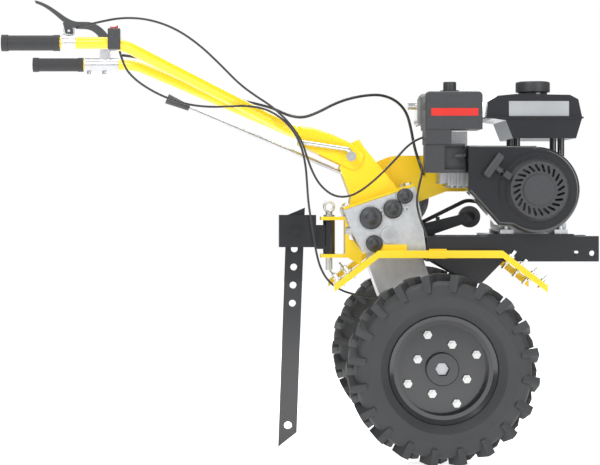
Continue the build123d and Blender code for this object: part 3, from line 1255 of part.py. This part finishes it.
# ------------------------------------------------------------------ wing brackets
WING_INNER_Y, WING_OUTER_Y = 95.3, 132.0
WING_TOP = ((62, 384), (163, 461), (443, 461), (545, 382))
WING_FLANGE = 17.0
WING_BOLT_R = 4.0



def wing_bolt_spots(sign):
    """Where the bolts of one side stand, four on the front slope and two on the back one."""
    y = sign * (WING_INNER_Y + WING_OUTER_Y) / 2
    spots = []
    for ends, shares, lean in (((2, 3), (0.2, 0.45, 0.7, 0.92), 38), ((0, 1), (0.12, 0.35), -37)):
        (x1, z1), (x2, z2) = WING_TOP[ends[0]], WING_TOP[ends[1]]
        for share in shares:
            spots.append(Pos(x1 + share * (x2 - x1), y, z1 + share * (z2 - z1)) * Rot(0, lean, 0))
    return spots


with BuildPart() as wing_brackets:
    for sign in SIDES.values():
        low_y, high_y = sorted((sign * WING_INNER_Y, sign * WING_OUTER_Y))
        edge_y = sign * WING_OUTER_Y
        for depth, (y1, y2) in ((PLATE, (low_y, high_y)), (WING_FLANGE, (edge_y - 1.5, edge_y + 1.5))):
            with BuildSketch(across(y2)):
                with BuildLine():
                    under = [(x, z - depth) for x, z in reversed(WING_TOP)]
                    Polyline(*WING_TOP, *under, close=True)
                make_face()
            extrude(amount=y2 - y1)
        with Locations((300, sign * (RAIL_HALF_SPAN + 3), WING_TOP[1][1] - 8)):
            Box(40, 6 - GAP, 22)
        with Locations((200, sign * (GEARBOX_HALF_W + 2 + GAP), WING_TOP[1][1] - 2)):
            Box(60, 4, 30)
        with Locations(wing_bolt_spots(sign)):
            Cylinder(WING_BOLT_R + RUN, 30, mode=Mode.SUBTRACT)
save(wing_brackets, "wing_brackets")

with BuildPart() as all_bolts:
    add(frame_bolts.part)
    for sign in SIDES.values():
        with Locations(wing_bolt_spots(sign)):
            Cylinder(WING_BOLT_R, 36)
        with Locations([spot * Pos(0, 0, 3.3) for spot in wing_bolt_spots(sign)]):
            Cylinder(2 * WING_BOLT_R, 5)
save(all_bolts, "frame_bolts")


# ------------------------------------------------------------------ cables
CABLE_R = 2.5
CLUTCH_CABLE_R = 3.4

THROTTLE_ROUTE = (
    (-507, -300, 948), (-455, -297, 962), (-405, -286, 972), (-352, -262, 971), (-296, -228, 955),
    (-243, -195, 922), (-196, -160, 880), (-153, -128, 838), (-115, -104, 812), (-76, -92, 788),
    (-38, -88, 752), (-10, -86, 712), (2, -86, 674), (14, -89, 640), (32, -93, 608),
    (62, -94, 584), (96, -96, 582), (128, -92, 598), (163, -84, 626), (202, -68, 664),
    (238, -46, 704), (272, -32, 722), (300, -30, 724), (329.5, -30, 724),
)
LOWER_ROUTE = (
    (-412, -306, 897), (-404, -306, 866), (-384, -290, 840), (-352, -262, 818), (-314, -236, 800),
    (-268, -206, 787), (-222, -178, 783), (-175, -152, 786), (-130, -126, 789), (-86, -101, 781),
    (-50, -88, 758), (-24, -76, 728), (-8, -73, 692), (0, -74, 652), (3, -70, 612),
    (6, -62, 572), (12, -58, 532), (18, -58, 492), (25, -60, 452), (34, -64, 418),
    (52, -67, 388), (80, -66, 368), (112, -63, 358), (146, -60, 352), (176, -57, 350),
)
CLUTCH_ROUTE = (
    (-444, 290, 938), (-408, 282, 934), (-366, 254, 919), (-322, 224, 897), (-276, 189, 876),
    (-230, 158, 852), (-186, 122, 831), (-144, 82, 812), (-104, 28, 800), (-72, -24, 788),
    (-40, -58, 770), (-6, -64, 764), (30, -52, 778), (66, -32, 798), (102, -8, 812),
    (142, 14, 821), (182, 34, 824), (218, 52, 812), (244, 66, 786), (256, 78, 748),
    (264, 86, 706), (276, 91, 668), (288, 94, 636),
)
SIDE_ROUTE = (
    (262, -34, 668), (268, -62, 656), (265, -88, 634), (256, -104, 606), (250, -108, 574),
    (255, -112, 542), (266, -110, 513), (276, -113, 488),
)


def cable(points, radius, name):
    """A cable's sheath: straight runs joined by arcs as large as the runs allow."""
    spots = [Vector(*point) for point in points]
    radii = []
    for before, here, after in zip(spots, spots[1:], spots[2:]):
        turn = radians((here - before).get_angle(after - here))
        radii.append(0.45 * min((here - before).length, (after - here).length) / tan(max(turn, 0.02) / 2))
    with BuildPart() as sheath:
        with BuildLine() as route:
            FilletPolyline(*points, radius=radii)
        with BuildSketch(Plane(origin=route.line @ 0, z_dir=route.line % 0)):
            Circle(radius)
        sweep()
    length = sum(edge.length for edge in route.edges())
    share = sheath.part.volume / (pi * radius**2 * length)
    runs = [(b - a).length for a, b in zip(spots, spots[1:])]
    print(f"{name}: {length:.0f} mm, volume share {share:.4f}, longest run {max(runs):.0f}")
    print("  radii", [round(r) for r in radii])
    save(sheath, name)


cable(THROTTLE_ROUTE, CABLE_R, "throttle_cable")
cable(LOWER_ROUTE, CABLE_R, "lower_cable")
cable(CLUTCH_ROUTE, CLUTCH_CABLE_R, "clutch_cable")
cable(SIDE_ROUTE, CABLE_R, "side_cable")
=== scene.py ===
import json
from math import cos, pi, radians, sin

import bpy
import numpy as np
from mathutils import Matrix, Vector


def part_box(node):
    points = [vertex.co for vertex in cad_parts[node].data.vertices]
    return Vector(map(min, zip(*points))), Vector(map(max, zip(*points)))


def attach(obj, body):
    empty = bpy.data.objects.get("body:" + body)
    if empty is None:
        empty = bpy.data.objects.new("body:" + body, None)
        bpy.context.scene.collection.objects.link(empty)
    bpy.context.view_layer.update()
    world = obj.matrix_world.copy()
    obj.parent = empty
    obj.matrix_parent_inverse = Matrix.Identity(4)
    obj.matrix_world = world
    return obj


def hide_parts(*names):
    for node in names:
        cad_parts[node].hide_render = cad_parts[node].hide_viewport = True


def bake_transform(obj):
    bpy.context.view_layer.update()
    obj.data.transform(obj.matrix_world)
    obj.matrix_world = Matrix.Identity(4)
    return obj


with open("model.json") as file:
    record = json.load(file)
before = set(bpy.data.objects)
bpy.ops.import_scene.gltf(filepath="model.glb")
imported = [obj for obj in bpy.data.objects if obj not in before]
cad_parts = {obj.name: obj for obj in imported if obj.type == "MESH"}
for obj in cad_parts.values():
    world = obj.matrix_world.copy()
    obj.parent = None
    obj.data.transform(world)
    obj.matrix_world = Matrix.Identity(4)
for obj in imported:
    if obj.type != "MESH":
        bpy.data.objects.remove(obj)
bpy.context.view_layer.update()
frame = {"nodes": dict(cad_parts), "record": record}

nodes = frame["nodes"]
low_y = {name: float(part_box(name)[0][1]) for name in nodes}
tank_face_y = low_y["fuel_tank"] + 0.006
slot_of = {entry["node"]: entry["material_slot"] for entry in frame["record"]["subparts"]}

# ---------------------------------------------------------------- camera
# The machine's right side, square on, with the lens shifted to place it in the picture.
lens = bpy.data.cameras.new("camera")
lens.lens, lens.sensor_width = 106.6, 36
lens.shift_x, lens.shift_y = 0.1083, -0.0458
camera = bpy.data.objects.new("camera", lens)
camera.location = (-0.1625, -4.15, 0.564)
camera.rotation_euler = (pi / 2, 0, 0)
bpy.context.collection.objects.link(camera)
bpy.context.scene.camera = camera
bpy.context.scene.view_settings.view_transform = "Standard"


# ---------------------------------------------------------------- materials
class Socket:
    """One output of a node, with arithmetic that adds math nodes."""

    def __init__(self, sheet, link):
        self.sheet, self.link = sheet, link

    def _math(self, operation, other):
        return self.sheet.node("ShaderNodeMath", {0: self, 1: other}, operation=operation)

    def __add__(self, other):
        return self._math("ADD", other)

    def __mul__(self, other):
        return self._math("MULTIPLY", other)


class Sheet:
    """One material's node tree, ending in a Principled surface."""

    def __init__(self, name):
        self.material = bpy.data.materials.new(name)
        self.material.use_nodes = True
        self.tree = self.material.node_tree
        self.surface = self.tree.nodes["Principled BSDF"]

    def node(self, kind, inputs=None, output=0, **settings):
        made = self.tree.nodes.new(kind)
        for key, value in settings.items():
            setattr(made, key, value)
        for key, value in (inputs or {}).items():
            self.put(made.inputs[key], value)
        return Socket(self, made.outputs[output])

    def put(self, socket, value):
        if isinstance(value, Socket):
            self.tree.links.new(value.link, socket)
        else:
            socket.default_value = value

    def set(self, **values):
        for key, value in values.items():
            self.put(self.surface.inputs[key.replace("_", " ")], value)

    def noise(self, scale, detail=3.0):
        place = self.node("ShaderNodeTexCoord", output="Object")
        return self.node("ShaderNodeTexNoise", {"Vector": place, "Scale": scale, "Detail": detail})

    def between(self, a, b, share):
        return self.node(
            "ShaderNodeMix", {0: share, 6: (*a, 1), 7: (*b, 1)}, output=2, data_type="RGBA"
        )

    def bump(self, height, strength, distance):
        return self.node("ShaderNodeBump", {"Height": height, "Strength": strength, "Distance": distance})


# Each finish: darker and lighter colour, roughness low and high, metallic, clear coat, grain size and bump.
FINISHES = {
    "yellow_paint": ((0.90, 0.60, 0.01), (0.97, 0.68, 0.015), 0.24, 0.34, 0, 0.5, 9, 0.02, 0.0006),
    "black_paint": ((0.012, 0.012, 0.014), (0.02, 0.02, 0.022), 0.16, 0.26, 0, 0.6, 12, 0.02, 0.0005),
    "black_plastic": ((0.028, 0.029, 0.031), (0.045, 0.046, 0.05), 0.38, 0.52, 0, 0, 600, 0.12, 0.0006),
    "rubber": ((0.018, 0.018, 0.019), (0.03, 0.03, 0.032), 0.55, 0.7, 0, 0, 200, 0.1, 0.0008),
    "tyre_rubber": ((0.020, 0.021, 0.022), (0.040, 0.041, 0.043), 0.55, 0.74, 0, 0, 60, 0.15, 0.001),
    "belt_rubber": ((0.015, 0.015, 0.015), (0.03, 0.03, 0.03), 0.6, 0.75, 0, 0, 150, 0.1, 0.0006),
    "tank_paint": ((0.014, 0.014, 0.016), (0.022, 0.022, 0.025), 0.14, 0.22, 0, 0.7, 10, 0.02, 0.0005),
    "cast_alloy": ((0.42, 0.43, 0.44), (0.60, 0.61, 0.62), 0.38, 0.55, 0.85, 0, 350, 0.2, 0.0008),
    "red_plastic": ((0.55, 0.02, 0.015), (0.65, 0.03, 0.02), 0.25, 0.35, 0, 0.3, 80, 0.03, 0.0004),
    "steel": ((0.42, 0.42, 0.43), (0.56, 0.56, 0.58), 0.28, 0.42, 0.95, 0, 180, 0.08, 0.0004),
    "zinc": ((0.58, 0.59, 0.57), (0.72, 0.72, 0.70), 0.25, 0.4, 0.95, 0, 120, 0.06, 0.0004),
    "pulley_iron": ((0.12, 0.12, 0.13), (0.2, 0.2, 0.21), 0.4, 0.55, 0.8, 0, 150, 0.1, 0.0005),
    "cable_sheath": ((0.012, 0.012, 0.012), (0.025, 0.025, 0.027), 0.3, 0.42, 0, 0.1, 300, 0.05, 0.0003),
    # Grey used only for the painted reflection of the studio light on the tank.
    "bare_label": ((0.30, 0.31, 0.32), (0.38, 0.39, 0.40), 0.3, 0.42, 0.1, 0.2, 90, 0.02, 0.0003),
}
materials = {}
for name, (dark, light, smooth, rough, metal, coat, grain, strength, depth) in FINISHES.items():
    sheet = Sheet(name)
    coarse, fine = sheet.noise(grain / 4), sheet.noise(grain)
    sheet.set(
        Base_Color=sheet.between(dark, light, coarse),
        Roughness=coarse * (rough - smooth) + smooth,
        Metallic=float(metal),
        Coat_Weight=float(coat),
        Normal=sheet.bump(fine, strength, depth),
    )
    materials[name] = sheet.material
for name, piece in nodes.items():
    piece.data.materials.clear()
    piece.data.materials.append(materials[slot_of[name]])


# ---------------------------------------------------------------- cables
# Control points along each sheath in millimetres, the same as the CAD's.
ROUTES = {
    "throttle_cable": (5.0, (
        (-507, -300, 948), (-455, -297, 962), (-405, -286, 972), (-352, -262, 971), (-296, -228, 955),
        (-243, -195, 922), (-196, -160, 880), (-153, -128, 838), (-115, -104, 812), (-76, -92, 788),
        (-38, -88, 752), (-10, -86, 712), (2, -86, 674), (14, -89, 640), (32, -93, 608),
        (62, -94, 584), (96, -96, 582), (128, -92, 598), (163, -84, 626), (202, -68, 664),
        (238, -46, 704), (272, -32, 722), (300, -30, 724), (329.5, -30, 724),
    )),
    "lower_cable": (5.0, (
        (-412, -306, 897), (-404, -306, 866), (-384, -290, 840), (-352, -262, 818), (-314, -236, 800),
        (-268, -206, 787), (-222, -178, 783), (-175, -152, 786), (-130, -126, 789), (-86, -101, 781),
        (-50, -88, 758), (-24, -76, 728), (-8, -73, 692), (0, -74, 652), (3, -70, 612),
        (6, -62, 572), (12, -58, 532), (18, -58, 492), (25, -60, 452), (34, -64, 418),
        (52, -67, 388), (80, -66, 368), (112, -63, 358), (146, -60, 352), (176, -57, 350),
    )),
    "clutch_cable": (6.8, (
        (-444, 290, 938), (-408, 282, 934), (-366, 254, 919), (-322, 224, 897), (-276, 189, 876),
        (-230, 158, 852), (-186, 122, 831), (-144, 82, 812), (-104, 28, 800), (-72, -24, 788),
        (-40, -58, 770), (-6, -64, 764), (30, -52, 778), (66, -32, 798), (102, -8, 812),
        (142, 14, 821), (182, 34, 824), (218, 52, 812), (244, 66, 786), (256, 78, 748),
        (264, 86, 706), (276, 91, 668), (288, 94, 636),
    )),
    "side_cable": (5.0, (
        (262, -34, 668), (268, -62, 656), (265, -88, 634), (256, -104, 606), (250, -108, 574),
        (255, -112, 542), (266, -110, 513), (276, -113, 488),
    )),
}
TUBE_SIDES = 16


def sampled(points, steps=8):
    """The quadratic curve that a clamped order-3 NURBS with these control points draws."""
    points = np.array(points, float) / 1000
    middles = (points[1:-2] + points[2:-1]) / 2
    starts = np.vstack([points[:1], middles])
    ends = np.vstack([middles, points[-1:]])
    t = np.linspace(0, 1, steps, endpoint=False)[:, None]
    arcs = [(1 - t) ** 2 * a + 2 * t * (1 - t) * b + t**2 * c for a, b, c in zip(starts, points[1:-1], ends)]
    return np.vstack([*arcs, points[-1:]])


for name, (diameter, points) in ROUTES.items():
    line = sampled(points)
    if name == "side_cable":
        data = bpy.data.curves.new("side_sheath", "CURVE")
        data.dimensions, data.bevel_depth, data.bevel_resolution, data.use_fill_caps = "3D", diameter / 2000, 4, True
        spline = data.splines.new("NURBS")
        spline.points.add(len(points) - 1)
        for spot, place in zip(spline.points, points):
            spot.co = (*(value / 1000 for value in place), 1)
        spline.order_u, spline.use_endpoint_u, spline.resolution_u = 3, True, 8
        data.materials.append(materials["cable_sheath"])
        piece, follows = bpy.data.objects.new("side_sheath", data), None
        bpy.context.collection.objects.link(piece)
        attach(piece, "frame")
    else:
        # A ring of points about each sample, turned as little as possible from one to the next.
        along = np.gradient(line, axis=0)
        along /= np.linalg.norm(along, axis=1)[:, None]
        side = np.cross(along[0], (0, 0, 1))
        rings = []
        for spot, way in zip(line, along):
            side = side - way * (side @ way)
            side /= np.linalg.norm(side)
            up = np.cross(way, side)
            angles = np.arange(TUBE_SIDES) * 2 * pi / TUBE_SIDES
            rings.append(spot + (np.outer(np.cos(angles), side) + np.outer(np.sin(angles), up)) * diameter / 2000)
        rings = np.array(rings)
        count = len(rings)
        faces = [tuple(range(TUBE_SIDES))[::-1], tuple(range((count - 1) * TUBE_SIDES, count * TUBE_SIDES))]
        for j in range(count - 1):
            for i in range(TUBE_SIDES):
                k = (i + 1) % TUBE_SIDES
                a, b = j * TUBE_SIDES, (j + 1) * TUBE_SIDES
                faces.append((a + i, a + k, b + k, b + i))
        mesh = bpy.data.meshes.new(name + "_sheath")
        mesh.from_pydata([tuple(v) for v in rings.reshape(-1, 3)], [], faces)
        mesh.shade_smooth()
        mesh.materials.append(materials["cable_sheath"])
        piece, follows = bpy.data.objects.new(name + "_sheath", mesh), [tuple(v) for v in line]
        bpy.context.collection.objects.link(piece)
        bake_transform(piece)
    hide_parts(name)


# ---------------------------------------------------------------- small fittings
def solid(name, verts, faces, slot, body, smooth=True):
    """A closed surface from numpy points, riding on a body."""
    mesh = bpy.data.meshes.new(name)
    mesh.from_pydata([tuple(v) for v in verts], [], faces)
    mesh.shade_smooth() if smooth else None
    mesh.materials.append(materials[slot])
    piece = bpy.data.objects.new(name, mesh)
    bpy.context.collection.objects.link(piece)
    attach(piece, body)
    return piece


def turned(name, centre, profile, slot, body, sides=48):
    """A shape turned about Y through centre: profile is (y, radius) pairs, closed at both ends."""
    verts = []
    for y, r in profile:
        for i in range(sides):
            a = 2 * pi * i / sides
            verts.append((centre[0] + r * cos(a), centre[1] + y, centre[2] + r * sin(a)))
    faces = [tuple(range(sides)), tuple(range((len(profile) - 1) * sides, len(profile) * sides))[::-1]]
    for j in range(len(profile) - 1):
        for i in range(sides):
            k = (i + 1) % sides
            faces.append((j * sides + i, (j + 1) * sides + i, (j + 1) * sides + k, j * sides + k))
    return solid(name, verts, faces, slot, body)


def slab(name, corners, y_front, y_back, slot, body):
    """A flat plate from its outline in x and z, between two values of y."""
    n = len(corners)
    verts = [(x, y_front, z) for x, z in corners] + [(x, y_back, z) for x, z in corners]
    faces = [tuple(range(n)), tuple(range(n, 2 * n))[::-1]]
    faces += [(i, i + n, (i + 1) % n + n, (i + 1) % n) for i in range(n)]
    return solid(name, verts, faces, slot, body, smooth=False)


# Bare plates on the air cleaner and the tank: a red sticker or badge on the air cleaner, and a grey strip that is a
# painted reflection of the studio light on the glossy black tank.
def seen(u, v, y):
    """Where a spot in the side view lies, at depth y in metres."""
    k = (4.15 + y) / 1777
    return (u - 235) * k - 0.1625, 0.564 + (205 - v) * k


def plate(name, left, top, right, bottom, y, slot_name):
    """A thin bare plate between two corners of the side view, just in front of depth y."""
    (x1, z1), (x2, z2) = seen(left, top, y), seen(right, bottom, y)
    slab(name, [(x1, z2), (x2, z2), (x2, z1), (x1, z1)], y - 0.0008, y, slot_name, "frame")


plate("cleaner_strip", 431.3, 108, 478.4, 115.6, low_y["air_cleaner"], "red_plastic")
# Painted reflection: a grey strip that stands in for the overhead light mirrored on the glossy black tank.
plate("tank_painted_reflection", 509, 101, 569, 116, tank_face_y, "bare_label")

# Dark boss plugs and a dark level plug on the gearbox case.
for name, u, v, radius, slot_name in (
    ("boss_plug_back", 371, 218, 0.026, "black_plastic"),
    ("boss_plug_mid", 393, 209, 0.022, "black_plastic"),
    ("boss_plug_front", 405, 196, 0.018, "black_plastic"),
    ("level_plug", 374.3, 243.5, 0.019, "black_plastic"),
):
    x, z = seen(u, v, low_y["gearbox_case"])
    profile = [(0.004, radius), (-0.003, radius), (-0.005, radius * 0.8), (-0.005, radius * 0.45), (-0.011, radius * 0.4)]
    turned(name, (x, low_y["gearbox_case"], z), profile, slot_name, "frame")


# ---------------------------------------------------------------- floor, light and white ground
floor_mesh = bpy.data.meshes.new("floor")
floor_mesh.from_pydata([(-9, -9, 0), (9, -9, 0), (9, 9, 0), (-9, 9, 0)], [], [(0, 1, 2, 3)])
floor = bpy.data.objects.new("floor", floor_mesh)
paper = Sheet("floor")
paper.set(Base_Color=(0.95, 0.95, 0.95, 1), Roughness=0.95)
paper.set(Emission_Color=(1, 1, 1, 1), Emission_Strength=0.8)
floor_mesh.materials.append(paper.material)
bpy.context.collection.objects.link(floor)
for name, place, size, watts in (
    ("key", (-1.4, -3.0, 2.6), 1.6, 75),
    ("fill", (2.2, -2.6, 1.4), 1.8, 32),
    ("top", (0.1, 0.2, 3.2), 2.0, 60),
    ("back", (0.6, 2.8, 1.8), 2.0, 40),
):
    lamp = bpy.data.lights.new(name, "AREA")
    lamp.energy, lamp.size = watts, size
    light = bpy.data.objects.new(name, lamp)
    light.location = place
    light.rotation_euler = (Vector((0.1, 0.0, 0.5)) - Vector(place)).to_track_quat("-Z", "Y").to_euler()
    bpy.context.collection.objects.link(light)

# The camera sees white behind the machine; the machine itself is lit by a dimmer surround.
world = bpy.data.worlds.new("world")
bpy.context.scene.world = world
world.use_nodes = True
tree = world.node_tree
ambient = tree.nodes["Background"]
ambient.inputs["Color"].default_value = (0.9, 0.95, 1.0, 1)
ambient.inputs["Strength"].default_value = 0.35
backdrop = tree.nodes.new("ShaderNodeBackground")
backdrop.inputs["Color"].default_value = (1, 1, 1, 1)
backdrop.inputs["Strength"].default_value = 1.0
path = tree.nodes.new("ShaderNodeLightPath")
chooser = tree.nodes.new("ShaderNodeMixShader")
tree.links.new(path.outputs["Is Camera Ray"], chooser.inputs["Fac"])
tree.links.new(ambient.outputs["Background"], chooser.inputs[1])
tree.links.new(backdrop.outputs["Background"], chooser.inputs[2])
tree.links.new(chooser.outputs["Shader"], tree.nodes["World Output"].inputs["Surface"])
